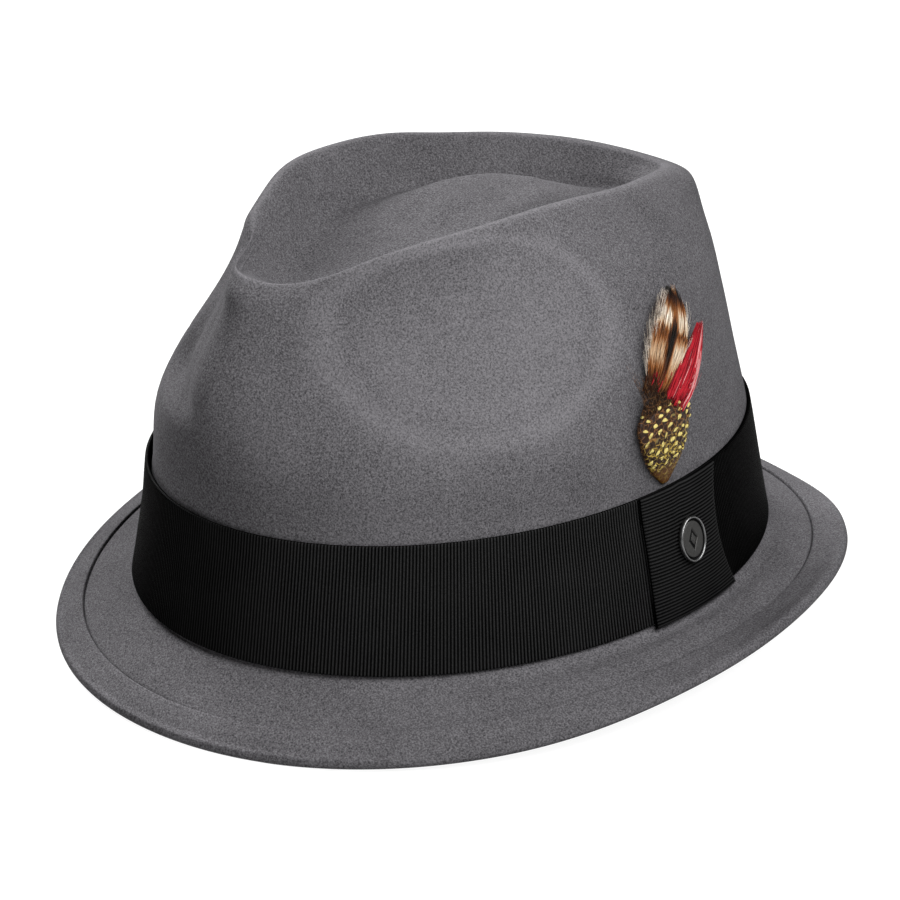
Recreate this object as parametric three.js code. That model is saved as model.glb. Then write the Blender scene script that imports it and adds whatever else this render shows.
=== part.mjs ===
// A trilby of grey wool felt: teardrop crown with a dent on each side, stingy brim with its edge
// folded back onto the top, black ribbed ribbon with a flat tab, a small badge and a bundle of feathers.
// Millimetres, +Z up. The front is at -Y and the wearer's left, with the tab, at +X. The origin is on
// the surface that the brim rests on, under the middle of the hat. Angles run from the front, through
// the wearer's left, to the back, and the felt is the same on both sides.
import * as THREE from "three";

// Driving dimensions
const FELT = 2.0; // one layer of felt
const RIBBON = 1.0; // the ribbon as a wall
const GAP = 0.3; // clearance between neighbouring pieces
const ROLL = 1.8; // half the thickness of the folded edge
const BAND_Z = 16.2; // height of the ribbon's lower edge
const BAND_RISE = 36.5; // upright height of the ribbon
const BAND_LOW = { x: 83.8, y: 103.3 }; // half axes of the crown's oval at the ribbon's lower edge
const BAND_HIGH = { x: 75.7, y: 96.9 }; // and at its upper edge
const CREST = 4.4; // how far the rim of the crown rounds over into its channel
const DOME = { z: 108.8, back: 14 }; // top of the raised middle, and how far back it sits
const DENT = { angle: 55.5, z: 87, wide: 35, tall: 23.5, deep: 4.0, edge: 0.12 }; // dish in each side

// Shape of the felt by angle: radii at heights above the ribbon's lower edge, then the rim of the
// teardrop, how square and how broad the shoulder outside it is, the channel inside it (as a share of
// the rim's radius) and the raised middle.
const CROWN = {
  angle: [0, 15, 30, 50, 75, 100, 125, 150, 165, 180],
  r55: [97.8, 94.5, 89.0, 82.0, 77.0, 75.5, 78.0, 85.5, 91.0, 94.0],
  r72: [98.0, 88.0, 78.5, 75.0, 73.0, 72.5, 74.5, 81.5, 87.0, 90.5],
  r90: [87.5, 76.5, 65.0, 63.0, 64.5, 66.0, 68.0, 76.5, 82.0, 86.0],
  shoulder: [0.35, 0.2, 0.1, 0.1, 0.15, 0.2, 0.3, 0.35, 0.4, 0.45],
  breadth: [4.4, 4.2, 4.0, 4.2, 4.6, 5.0, 5.6, 9.5, 11.0, 9.0],
  rimR: [79.5, 67.0, 57.0, 50.5, 42.5, 40.5, 43.5, 55.0, 67.0, 80.0],
  rimZ: [104.5, 102.5, 107.5, 113.0, 115.0, 114.5, 112.0, 108.8, 105.2, 100.5],
  channelAt: [0.8, 0.8, 0.78, 0.76, 0.72, 0.72, 0.72, 0.74, 0.78, 0.8],
  channelZ: [97, 96, 97, 99, 100.5, 100.5, 99.5, 97, 95, 94],
  domeZ: [101.5, 102.5, 104, 106, 107, 107.5, 107.5, 106, 104, 102.5],
};
// The brim by angle: reach of its edge and of the folded welt's inner edge beyond the ribbon's oval,
// and their heights above the surface that the hat rests on.
const BRIM = {
  angle: [0, 30, 60, 90, 120, 150, 170, 180],
  out: [25.7, 25.9, 26.3, 26.5, 26.3, 26.1, 25.8, 25.7],
  edgeZ: [-0.2, -0.1, 3.2, 9.6, 11.8, 6.2, 0.2, -0.5],
  weltIn: [13.6, 13.9, 14.5, 14.9, 14.7, 14.1, 13.7, 13.6],
  weltZ: [2.3, 3.3, 5.4, 7.6, 9.2, 6.4, 3.0, 2.4],
};

const COLUMNS = 64; // facets round the hat
const ROWS_PER_SPAN = 2; // on the crown; the brim has one row at each station

const rad = THREE.MathUtils.degToRad;

// Smooth curve through uneven knots, with the slope at a knot taken from its two neighbours.
function hermite(t, a, b, slopeA, slopeB) {
  const t2 = t * t;
  const t3 = t2 * t;
  return (2 * t3 - 3 * t2 + 1) * a + (t3 - 2 * t2 + t) * slopeA + (3 * t2 - 2 * t3) * b + (t3 - t2) * slopeB;
}

// A table's column at any angle, mirrored about the front and the back.
function column(table, name, angle) {
  const knots = table.angle;
  const values = table[name];
  const last = knots.length - 1;
  const around = ((angle % 360) + 360) % 360;
  const at = around > 180 ? 360 - around : around;
  let i = 0;
  while (i < last - 1 && at >= knots[i + 1]) i += 1;
  const knot = (k) => (k < 0 ? -knots[1] : k > last ? 360 - knots[last - 1] : knots[k]);
  const value = (k) => values[k < 0 ? 1 : k > last ? last - 1 : k];
  const slope = (k) => (value(k + 1) - value(k - 1)) / (knot(k + 1) - knot(k - 1));
  const span = knot(i + 1) - knot(i);
  return hermite((at - knot(i)) / span, value(i), value(i + 1), slope(i) * span, slope(i + 1) * span);
}

// Radius of an oval with the given half axes.
function ovalRadius(half, angle) {
  return 1 / Math.hypot(Math.sin(rad(angle)) / half.x, Math.cos(rad(angle)) / half.y);
}

// The felt's outer face at one angle, as stations [radius, height above the ribbon's lower edge] from
// the outermost point of the brim to the middle of the crown.
function stations(angle) {
  const crown = (name) => column(CROWN, name, angle);
  const brim = (name) => column(BRIM, name, angle);
  const low = ovalRadius(BAND_LOW, angle);
  const high = ovalRadius(BAND_HIGH, angle);
  const edge = low + brim("out");
  const edgeZ = brim("edgeZ") + ROLL - BAND_Z;
  const welt = low + brim("weltIn");
  const weltZ = brim("weltZ") - BAND_Z;
  const rimR = crown("rimR");
  const rimZ = crown("rimZ");
  const breadth = crown("breadth");
  const channelR = rimR * crown("channelAt");
  const channelZ = crown("channelZ");
  const step = 2 * ROLL - FELT;
  return [
    [edge, edgeZ], // outermost point of the folded edge
    [edge - 0.3 * ROLL, edgeZ + 0.7 * ROLL],
    [edge - 1.2 * ROLL, edgeZ + ROLL], // top of the fold
    [(edge + welt) / 2, (edgeZ + ROLL + weltZ + step) / 2 + 0.3],
    [welt + 1.2, weltZ + step - 0.1], // the folded layer's inner edge
    [welt + 0.2, weltZ + 0.5 * step],
    [welt - 0.4, weltZ + 0.1], // foot of its step, on the brim
    [low + 0.55 * brim("weltIn"), 0.55 * weltZ - 0.9],
    [low + 3.4, -2.8], // the brim turns up into the crown
    [low + 0.9, -1.3],
    [low, 0.1], // lower edge of the ribbon
    [(low + high) / 2, BAND_RISE / 2],
    [high, BAND_RISE], // and its upper edge
    [crown("r55"), 55],
    [crown("r72"), 72],
    [crown("r90"), 90],
    [THREE.MathUtils.lerp(rimR + breadth, crown("r90"), crown("shoulder")), 90 + 0.66 * (rimZ - 90)],
    [rimR + 0.6 * breadth, rimZ - 1.4],
    [rimR, rimZ], // rim of the teardrop
    [rimR - 0.6 * CREST, rimZ - 1.4],
    [0.5 * (rimR + channelR) - 0.4 * CREST, 0.45 * rimZ + 0.55 * channelZ], // its inner wall
    [channelR - 0.5 * CREST, channelZ], // channel
    [0.4 * rimR, crown("domeZ")], // raised middle
    [0.18 * rimR, DOME.z - 0.4],
  ];
}
const BAND_STATION = { low: 10, middle: 11, high: 12 };
const RIM_STATION = 18;
const CHANNEL_STATION = 21;
const WELT_STATION = 6;

// One parameter for every angle: each station's distance along the felt at a middling angle, with its
// root taken so that tight bends keep their share.
const MIDDLING_ANGLE = 60;
const KNOTS = stations(MIDDLING_ANGLE).reduce((knots, [r, z], i, all) => {
  if (i === 0) return [0];
  const [r0, z0] = all[i - 1];
  return [...knots, knots[i - 1] + Math.sqrt(Math.hypot(r - r0, z - z0))];
}, []);

// Depth of the dish in the crown's side.
function dentDepth(angle, z) {
  const around = ((angle % 360) + 360) % 360;
  const side = around > 180 ? 360 - around : around;
  const inside = 1 - ((side - DENT.angle) / DENT.wide) ** 2 - ((z - DENT.z) / DENT.tall) ** 2;
  return (DENT.deep * (inside + Math.hypot(inside, DENT.edge))) / 2;
}

// A point of the felt's outer face: angle round the hat, and u counted in stations from the brim's edge.
function feltPoint(angle, u) {
  const list = stations(angle);
  const last = list.length - 1;
  const i = Math.min(Math.floor(u), last - 1);
  const before = Math.max(i - 1, 0);
  const after = Math.min(i + 2, last);
  const span = KNOTS[i + 1] - KNOTS[i];
  const curve = (k) => {
    const slopeA = ((list[i + 1][k] - list[before][k]) / (KNOTS[i + 1] - KNOTS[before])) * span;
    const slopeB = ((list[after][k] - list[i][k]) / (KNOTS[after] - KNOTS[i])) * span;
    return hermite(u - i, list[i][k], list[i + 1][k], slopeA, slopeB);
  };
  const z = curve(1);
  const r = curve(0) - (u < RIM_STATION ? dentDepth(angle, z) : 0);
  const back = DOME.back * THREE.MathUtils.smoothstep(u, CHANNEL_STATION - 1, last + 1);
  return new THREE.Vector3(r * Math.sin(rad(angle)), back - r * Math.cos(rad(angle)), z + BAND_Z);
}

// The felt's outward normal at the same place.
function feltNormal(angle, u) {
  const upward = feltPoint(angle, u + 0.02).sub(feltPoint(angle, Math.max(u - 0.02, 0)));
  const around = feltPoint(angle + 0.5, u).sub(feltPoint(angle - 0.5, u));
  return around.cross(upward).normalize();
}

// A place on the crown's side at a height above the ribbon's lower edge, lifted off the felt.
const HALVINGS = 24; // of the search for that height
function onCrown(angle, z, lift) {
  let low = BAND_STATION.low;
  let high = RIM_STATION;
  for (let i = 0; i < HALVINGS; i += 1) {
    const middle = (low + high) / 2;
    if (feltPoint(angle, middle).z - BAND_Z < z) low = middle;
    else high = middle;
  }
  return feltPoint(angle, low).addScaledVector(feltNormal(angle, low), lift);
}

// A closed body from shared vertices and quads or triangles, turned so that its faces point out.
function closedBody(points, faces) {
  const triangles = faces.flatMap((f) => (f.length === 4 ? [f[0], f[1], f[2], f[0], f[2], f[3]] : f));
  let volume = 0;
  const cross = new THREE.Vector3();
  for (let i = 0; i < triangles.length; i += 3) {
    const [a, b, c] = [points[triangles[i]], points[triangles[i + 1]], points[triangles[i + 2]]];
    volume += a.dot(cross.crossVectors(b, c));
  }
  if (volume < 0) triangles.reverse();
  const geometry = new THREE.BufferGeometry();
  geometry.setAttribute("position", new THREE.Float32BufferAttribute(points.flatMap((p) => p.toArray()), 3));
  geometry.setIndex(triangles);
  geometry.computeVertexNormals();
  return geometry;
}

// Quads between rows of points that close on themselves, one list of indices per row.
function ringFaces(rows, around) {
  const faces = [];
  for (let i = 0; i < rows - 1; i += 1) {
    for (let j = 0; j < around; j += 1) {
      const next = (j + 1) % around;
      faces.push([i * around + j, i * around + next, (i + 1) * around + next, (i + 1) * around + j]);
    }
  }
  return faces;
}

// A slab between a front face and a back face, each given for u and v from 0 to 1.
function slab(columns, rows, front, back) {
  const points = [];
  for (const face of [front, back]) {
    for (let i = 0; i <= rows; i += 1) {
      for (let j = 0; j <= columns; j += 1) points.push(face(j / columns, i / rows));
    }
  }
  const width = columns + 1;
  const half = width * (rows + 1);
  const faces = [];
  for (let i = 0; i < rows; i += 1) {
    for (let j = 0; j < columns; j += 1) {
      const a = i * width + j;
      faces.push([a, a + 1, a + width + 1, a + width]);
      faces.push([half + a, half + a + width, half + a + width + 1, half + a + 1]);
    }
  }
  const border = [];
  for (let j = 0; j < columns; j += 1) border.push(j);
  for (let i = 0; i < rows; i += 1) border.push(i * width + columns);
  for (let j = columns; j > 0; j -= 1) border.push(rows * width + j);
  for (let i = rows; i > 0; i -= 1) border.push(i * width);
  border.forEach((a, k) => {
    const b = border[(k + 1) % border.length];
    faces.push([b, a, half + a, half + b]);
  });
  return closedBody(points, faces);
}

// Crown and brim: one felt, its outer face from the crown's middle to the brim's edge, then the
// underside of the fold and the inner face back to the middle.
function feltHood() {
  const last = KNOTS.length - 1;
  const rows = [];
  for (let u = last; u > BAND_STATION.high; u -= 1 / ROWS_PER_SPAN) {
    rows.push((angle) => feltPoint(angle, u));
  }
  for (let u = BAND_STATION.high; u >= 0; u -= 1) rows.push((angle) => feltPoint(angle, u));
  const under = [
    { inward: 0.35, drop: 0.7 },
    { inward: 0.9, drop: 1 },
    { inward: 2.0, drop: 1 },
  ];
  for (const { inward, drop } of under) {
    rows.push((angle) => {
      const edge = feltPoint(angle, 0);
      const shrink = 1 - (inward * ROLL) / Math.hypot(edge.x, edge.y);
      return edge.set(edge.x * shrink, edge.y * shrink, Math.max(edge.z - drop * ROLL, 0));
    });
  }
  for (let u = WELT_STATION; u <= last; u += 1) {
    rows.push((angle) => feltPoint(angle, u).addScaledVector(feltNormal(angle, u), -FELT));
  }
  const turns = Array.from({ length: COLUMNS }, (_, j) => (360 * j) / COLUMNS);
  const points = rows.flatMap((row) => turns.map(row));
  const faces = ringFaces(rows.length, COLUMNS);
  const outerMiddle = points.push(new THREE.Vector3(0, DOME.back, DOME.z + BAND_Z)) - 1;
  const innerMiddle = points.push(new THREE.Vector3(0, DOME.back, DOME.z + BAND_Z - FELT)) - 1;
  const lastRow = (rows.length - 1) * COLUMNS;
  for (let j = 0; j < COLUMNS; j += 1) {
    const next = (j + 1) % COLUMNS;
    faces.push([outerMiddle, next, j]);
    faces.push([innerMiddle, lastRow + j, lastRow + next]);
  }
  return closedBody(points, faces);
}

// Ribbon round the crown, a closed loop that follows the felt.
function ribbonBand() {
  const outward = (angle, u, lift) => {
    const point = feltPoint(angle, u);
    const grow = 1 + lift / Math.hypot(point.x, point.y);
    return point.set(point.x * grow, point.y * grow, point.z);
  };
  const { low, middle, high } = BAND_STATION;
  const section = [
    [low, GAP], [middle, GAP], [high, GAP],
    [high, GAP + RIBBON], [middle, GAP + RIBBON], [low, GAP + RIBBON],
  ];
  const points = section.flatMap(([u, lift]) =>
    Array.from({ length: COLUMNS }, (_, j) => outward((360 * j) / COLUMNS, u, lift)));
  const faces = ringFaces(section.length, COLUMNS);
  const lastRow = (section.length - 1) * COLUMNS;
  for (let j = 0; j < COLUMNS; j += 1) {
    const next = (j + 1) % COLUMNS;
    faces.push([lastRow + j, lastRow + next, next, j]);
  }
  return closedBody(points, faces);
}

// Flat tab over the ribbon's join: waisted on its rear side, puffed between its folded ends.
const TAB = {
  front: 91.5, // angles of its two sides
  rear: 116.5,
  waist: 1.6, // degrees that the rear side draws in
  low: -1.2, // heights of its ends above the ribbon's lower edge
  high: 38.2,
  edge: 1.2, // thickness at its sides, and how much more in its middle
  puff: 1.3,
};
const TAB_LIFT = RIBBON + 2 * GAP; // of the tab's back face off the felt
const FELT_BEND = 1; // height under which the felt bends away from the tab

function tabPoint(u, v, lift) {
  const angle = THREE.MathUtils.lerp(TAB.front, TAB.rear, u) - TAB.waist * Math.sin(Math.PI * v) * u;
  const z = THREE.MathUtils.lerp(TAB.low, TAB.high, v);
  const below = Math.max(FELT_BEND - z, 0); // there the tab keeps straight on down
  const point = onCrown(angle, z + below, lift);
  if (below === 0) return point;
  const down = point.clone().sub(onCrown(angle, 5 * FELT_BEND, lift)).normalize();
  return point.addScaledVector(down, below);
}

function tabFront(u, v) {
  const puff = TAB.puff * Math.sqrt(Math.abs(Math.sin(Math.PI * u) * Math.sin(Math.PI * v)));
  return tabPoint(u, v, TAB_LIFT + TAB.edge + puff);
}

function ribbonTab() {
  return slab(8, 10, tabFront, (u, v) => tabPoint(u, v, TAB_LIFT));
}

// Small oval badge, turned about its own axis and then squeezed: a raised rim, a channel, a flat field
// with a ring and a boss.
const BADGE = { long: 13, wide: 11.2, thick: 1.7, sides: 24, u: 0.53, v: 0.53 };

function badge() {
  const r = BADGE.long / 2;
  const t = BADGE.thick;
  const profile = [
    [0, 0], [r - 0.5, 0], [r, 0.45 * t], [r - 0.15, 0.85 * t], [r - 0.55, t], [r - 0.95, 0.85 * t],
    [r - 1.1, 0.5 * t], [r - 1.6, 0.5 * t], [r - 1.8, 0.75 * t], [0.55 * r, 0.75 * t],
    [0.5 * r, 0.9 * t], [0.4 * r, 0.9 * t], [0.35 * r, 0.75 * t], [0.2 * r, 0.75 * t], [0, t],
  ];
  const lathe = new THREE.LatheGeometry(profile.map(([x, y]) => new THREE.Vector2(x, y)), BADGE.sides);
  return lathe.rotateX(Math.PI / 2).scale(BADGE.wide / BADGE.long, 1, 1);
}

function seatBadge(mesh) {
  const { u, v } = BADGE;
  const across = tabFront(u + 0.05, v).sub(tabFront(u - 0.05, v)).normalize();
  const up = tabFront(u, v + 0.05).sub(tabFront(u, v - 0.05)).normalize();
  const out = across.clone().cross(up).normalize();
  const basis = new THREE.Matrix4().makeBasis(up.clone().cross(out), up, out);
  mesh.setRotationFromMatrix(basis);
  mesh.position.copy(tabFront(u, v)).addScaledVector(out, GAP);
}

// Feathers are slabs along a spine on the crown's side. A spine runs from its foot to its tip by angle,
// height and lift off the felt; widths and thicknesses are given at even steps along it.
const SIDE_RADIUS = 74; // of the crown where the feathers lie

const PAD = {
  foot: { angle: 101.0, z: 39.6, lift: GAP },
  tip: { angle: 101.0, z: 65.5, lift: 2.4 },
  width: [2.5, 14, 21, 23, 20, 9],
  thick: [1.2, 2.2, 2.6, 2.6, 2.0, 1.0],
  locks: 1,
  ragged: 0,
  columns: 8,
  rows: 8,
};
const STRIPED = {
  foot: { angle: 101.4, z: 67.9, lift: 0.6 },
  tip: { angle: 109.6, z: 89.5, lift: 4.6 },
  width: [9, 15, 17.5, 16.5, 13.5, 7],
  thick: [2.2, 2.4, 2.2, 2.0, 1.6, 1.2],
  locks: 4,
  ragged: 0.1,
  columns: 16,
  rows: 8,
};
const RED = {
  foot: { angle: 109.7, z: 62.0, lift: 0.8 },
  tip: { angle: 119.6, z: 77.2, lift: 3.2 },
  width: [5.5, 6.5, 6.5, 6, 5, 2],
  thick: [1.6, 1.8, 1.8, 1.6, 1.4, 1.2],
  locks: 2,
  ragged: 0.12,
  columns: 8,
  rows: 7,
};

// A value between the evenly spaced entries of a short list.
function between(list, v) {
  const at = v * (list.length - 1);
  const i = Math.min(Math.floor(at), list.length - 2);
  return THREE.MathUtils.lerp(list[i], list[i + 1], at - i);
}

// Its front swells into locks, and the gaps between them cut into its tip.
function feather(spec) {
  const { foot, tip } = spec;
  const run = rad(tip.angle - foot.angle) * SIDE_RADIUS;
  const rise = tip.z - foot.z;
  const length = Math.hypot(run, rise);
  const lock = (u) => Math.abs(Math.sin(Math.PI * spec.locks * u));
  const point = (u, v, thick) => {
    const reach = v * (1 - spec.ragged * (1 - lock(u)));
    const offset = (u - 0.5) * between(spec.width, v);
    const side = (run * reach + (offset * rise) / length) / SIDE_RADIUS;
    const z = foot.z + rise * reach - (offset * run) / length;
    const lift = THREE.MathUtils.lerp(foot.lift, tip.lift, v) + thick;
    return onCrown(foot.angle + THREE.MathUtils.radToDeg(side), z, lift);
  };
  const grooved = (u) => (spec.locks > 1 ? 0.6 + 0.4 * lock(u) : 1);
  const swell = (u) => 0.45 + 0.55 * Math.sqrt(Math.sin(Math.PI * u)) * grooved(u);
  const front = (u, v) => point(u, v, between(spec.thick, v) * swell(u));
  return slab(spec.columns, spec.rows, front, (u, v) => point(u, v, 0));
}

const group = new THREE.Group();

function add(name, geometry, color, roughness, metalness = 0) {
  const mesh = new THREE.Mesh(geometry, new THREE.MeshStandardMaterial({ color, roughness, metalness }));
  mesh.name = name;
  group.add(mesh);
  return mesh;
}

add("felt_hood", feltHood(), 0x66646a, 0.95);
add("ribbon_band", ribbonBand(), 0x131314, 0.6);
add("ribbon_tab", ribbonTab(), 0x151516, 0.6);
seatBadge(add("badge", badge(), 0x8b8b8b, 0.35, 1));
add("feather_pad", feather(PAD), 0x4a3c20, 0.8);
add("striped_plume", feather(STRIPED), 0x9a7650, 0.8);
add("red_plume", feather(RED), 0xa81f2c, 0.8);

export default group;
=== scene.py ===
import math
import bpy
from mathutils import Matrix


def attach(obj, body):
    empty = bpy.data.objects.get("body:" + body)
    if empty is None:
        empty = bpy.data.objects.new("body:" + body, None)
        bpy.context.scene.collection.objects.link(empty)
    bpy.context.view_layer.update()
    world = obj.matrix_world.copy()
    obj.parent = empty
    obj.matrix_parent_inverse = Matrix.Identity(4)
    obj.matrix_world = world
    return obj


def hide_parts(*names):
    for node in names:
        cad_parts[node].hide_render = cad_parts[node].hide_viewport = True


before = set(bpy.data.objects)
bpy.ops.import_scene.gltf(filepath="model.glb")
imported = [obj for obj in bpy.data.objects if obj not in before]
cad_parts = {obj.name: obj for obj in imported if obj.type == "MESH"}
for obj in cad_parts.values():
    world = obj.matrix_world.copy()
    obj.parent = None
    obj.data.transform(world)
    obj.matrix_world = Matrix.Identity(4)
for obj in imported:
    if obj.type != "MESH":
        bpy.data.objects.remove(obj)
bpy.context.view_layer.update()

from types import SimpleNamespace as Sizes

import bpy
import numpy as np
from mathutils import Matrix, Vector

# Felt hood: the crown and brim of a trilby are one piece of grey wool felt, 2 mm thick, steamed over a
# block. The crown has a teardrop channel round a raised middle and a dish in each side, and the brim's
# edge is folded back onto its top and felted down. Lengths are in millimetres until a mesh is made.
FELT = 2.0
ROLL = 1.8  # half the thickness of the folded edge
BAND_Z = 16.2  # height of the ribbon's lower edge over the surface that the hat rests on
BAND_RISE = 36.5
BAND_LOW = (83.8, 103.3)  # half axes of the crown's oval at the ribbon's lower edge
BAND_HIGH = (75.7, 96.9)
CREST = 4.4  # how far the rim of the crown rounds over into its channel
DOME_TOP, DOME_BACK = 106.6, 18.0
# The crease beside the folded layer. It is felted away along the front left, from one fade to the other.
CREASE = Sizes(deep=0.62, felted=0.94, fades_out=(4, 38), fades_in=(118, 140))
# The dish in each side: its middle, its reach to the sides, down and up, its depth, the softness of its
# lip, and how much fuller it gets with each millimetre under a height.
DISH = Sizes(
    angle=55.5, z=96.0, wide=35.5, down=33.0, up=15.5, deep=6.5, lip=0.08,
    fuller=0.022, fuller_under=88, heights=(40, 115),
)
# The crown by angle from the front: its radii at three heights over the ribbon's lower edge, how square and
# how broad its shoulder is, the rim's radius and height, and the channel and raised middle inside the rim.
CROWN = {
    "angle": [0, 9, 16, 30, 50, 75, 100, 125, 150, 165, 180],
    "r55": [96.8, 95.6, 93.1, 87.8, 81.4, 77.0, 75.5, 78.0, 85.5, 91.0, 94.0],
    "r72": [98.0, 93.2, 87.3, 78.5, 75.0, 73.0, 72.5, 74.5, 81.5, 87.0, 90.5],
    "r90": [87.5, 82.6, 76.8, 68.0, 64.0, 64.5, 66.0, 68.0, 76.5, 82.0, 86.0],
    "shoulder": [0.35, 0.26, 0.19, 0.1, 0.1, 0.15, 0.2, 0.3, 0.35, 0.4, 0.45],
    "breadth": [3.5, 3.5, 3.8, 4.2, 4.2, 4.6, 5.0, 5.6, 9.5, 11.0, 9.0],
    "rim_r": [80.5, 74.3, 67.3, 57.3, 50.5, 42.5, 40.5, 43.5, 55.0, 67.0, 80.0],
    "rim_z": [103.5, 101.0, 102.4, 108.7, 113.6, 115.0, 114.5, 112.0, 108.8, 105.2, 100.5],
    "channel_at": [0.74, 0.76, 0.78, 0.78, 0.76, 0.72, 0.72, 0.72, 0.74, 0.78, 0.8],
    "channel_z": [90, 90, 91.5, 95.5, 99, 100.5, 100.5, 99.5, 97, 95, 94],
    "dome_z": [97, 97.8, 98.8, 101.5, 104, 105, 105.5, 105.5, 104.5, 103, 101.5],
}
# The brim by angle: reach and height of its edge, and of the folded layer's inner edge. Heights are over
# the surface that the hat rests on, and reaches are beyond the ribbon's oval.
BRIM = {
    "angle": [0, 30, 60, 90, 120, 150, 170, 180],
    "out": [24.7, 24.9, 25.9, 26.5, 26.3, 26.1, 25.8, 25.7],
    "edge_z": [-0.2, -0.1, 3.2, 9.6, 11.8, 6.2, 0.2, -0.5],
    "welt_in": [15.6, 15.8, 15.6, 15.0, 14.7, 14.9, 15.4, 15.5],
    "welt_z": [6.5, 7.0, 10.2, 12.8, 12.4, 9.6, 6.8, 6.3],
}
# The front is pinched in harder on the wearer's right: how deep, and the angles and heights it fades over.
PINCH = Sizes(deep=6.3, rear=(-28, -16), front=(-6, 6), heights=(60, 68))
# The rim stands in a little behind the pinch: how far, round which angle and how widely.
LEAN = Sizes(deep=1.4, middle=-42, wide=20)
# Places in the list of stations below.
CREASE_U, WELT_U, BAND_U, RIM_U, CHANNEL_U = 5, 6, (10, 12), 18, 21
TURN_STEP = 0.5  # degrees between the sections that the felt is worked out at
SOFTENING = 3.0  # degrees over which the tables' knots are smoothed away


def from_front(angle):
    """Degrees from the front, up to 180 on the wearer's left and down to -180 on the right."""
    return (angle + 180) % 360 - 180


def hermite(t, a, b, slope_a, slope_b):
    """A smooth curve from a to b with the given slopes at its ends."""
    t2, t3 = t * t, t * t * t
    ends = (2 * t3 - 3 * t2 + 1) * a + (3 * t2 - 2 * t3) * b
    return ends + (t3 - 2 * t2 + t) * slope_a + (t3 - t2) * slope_b


def by_angle(table, name, angle):
    """A table's column at any angle from the front, the same on both sides."""
    knots, values = np.array(table["angle"], float), np.array(table[name], float)
    knot = np.concatenate([[-knots[1]], knots, [360 - knots[-2]]])
    value = np.concatenate([[values[1]], values, [values[-2]]])
    at = np.abs(from_front(angle))
    i = np.clip(np.searchsorted(knots, at, side="right") - 1, 0, len(knots) - 2)
    span = knots[i + 1] - knots[i]
    slope = (value[2:] - value[:-2]) / (knot[2:] - knot[:-2])
    t = (at - knots[i]) / span
    return hermite(t, values[i], values[i + 1], slope[i] * span, slope[i + 1] * span)


def smooth_step(x, low, high):
    t = np.clip((x - low) / (high - low), 0, 1)
    return t * t * (3 - 2 * t)


def plateau(x, rises, falls):
    """1 between two ranges: it rises over the first and falls over the second."""
    return smooth_step(x, *rises) * (1 - smooth_step(x, *falls))


def hump(x, middle, wide):
    """A smooth bell that is 1 at its middle."""
    return np.exp(-(((x - middle) / wide) ** 2))


def oval(half, angle):
    return 1 / np.hypot(np.sin(np.radians(angle)) / half[0], np.cos(np.radians(angle)) / half[1])


def felted_flush(angle):
    """1 along the front left of the brim, where the folded layer's edge no longer shows."""
    return plateau(from_front(angle), CREASE.fades_out, CREASE.fades_in)


def felt_stations(angle):
    """Radius and height over the ribbon's lower edge, from the brim's edge to the middle of the crown."""
    low, high = oval(BAND_LOW, angle), oval(BAND_HIGH, angle)
    brim = {name: by_angle(BRIM, name, angle) for name in BRIM if name != "angle"}
    crown = {name: by_angle(CROWN, name, angle) for name in CROWN if name != "angle"}
    edge, edge_z = low + brim["out"], brim["edge_z"] + ROLL - BAND_Z
    welt, welt_z = low + brim["welt_in"], brim["welt_z"] - BAND_Z
    crease = CREASE.deep * (1 - CREASE.felted * felted_flush(angle))
    rim_r, rim_z, shoulder = crown["rim_r"], crown["rim_z"], crown["shoulder"]
    channel_r, channel_z = rim_r * crown["channel_at"], crown["channel_z"]
    shoulder_r = (rim_r + crown["breadth"]) * (1 - shoulder) + crown["r90"] * shoulder
    level = np.ones_like(angle)
    return np.array([
        (edge, edge_z),  # outermost point of the folded edge
        (edge - 0.3 * ROLL, edge_z + 0.7 * ROLL),
        (edge - 1.2 * ROLL, edge_z + ROLL),
        ((edge + welt) / 2, (edge_z + ROLL + welt_z) / 2),
        (welt + 1.0, welt_z + 0.15),  # the folded layer's inner edge
        (welt + 0.3, welt_z - crease),
        (welt - 0.5, welt_z),
        (low + 0.55 * brim["welt_in"], 0.55 * welt_z - 0.5),
        (low + 3.4, -2.8 * level),  # the brim turns up into the crown
        (low + 0.9, -1.3 * level),
        (low, 0.1 * level),
        ((low + high) / 2, BAND_RISE / 2 * level),
        (high, BAND_RISE * level),
        (crown["r55"], 55 * level),
        (crown["r72"], 72 * level),
        (crown["r90"], 90 * level),
        (shoulder_r, 90 + 0.66 * (rim_z - 90)),
        (rim_r + 0.6 * crown["breadth"], rim_z - 1.4),
        (rim_r, rim_z),  # rim of the teardrop
        (rim_r - 0.6 * CREST, rim_z - 1.4),
        (0.5 * (rim_r + channel_r) - 0.4 * CREST, 0.45 * rim_z + 0.55 * channel_z),
        (channel_r - 0.5 * CREST, channel_z),  # channel
        (0.4 * rim_r, crown["dome_z"]),  # raised middle
        (0.18 * rim_r, (DOME_TOP - 0.4) * level),
    ])


def softened(values, degrees):
    """Values at even steps of a whole turn, smoothed round it."""
    turns = np.fft.fftfreq(values.shape[-1], 1 / values.shape[-1])
    keep = np.exp(-0.5 * (np.radians(degrees) * turns) ** 2)
    return np.fft.ifft(np.fft.fft(values) * keep).real


FELT_TURNS = np.arange(0, 360, TURN_STEP)
FELT_SECTIONS = softened(felt_stations(FELT_TURNS), SOFTENING)
TYPICAL_ANGLE = 60.0  # where the spacing of the stations is taken
typical = felt_stations(np.array([TYPICAL_ANGLE]))[:, :, 0]
KNOTS = np.concatenate([[0], np.cumsum(np.sqrt(np.hypot(*np.diff(typical, axis=0).T)))])
LAST_U = len(KNOTS) - 1


def dish_reach(angle, z):
    """0 in the middle of a side dish and 1 on its lip."""
    side = np.abs(from_front(angle)) - DISH.angle
    height = z - DISH.z
    return np.hypot(side / DISH.wide, height / np.where(height < 0, DISH.down, DISH.up))


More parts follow.
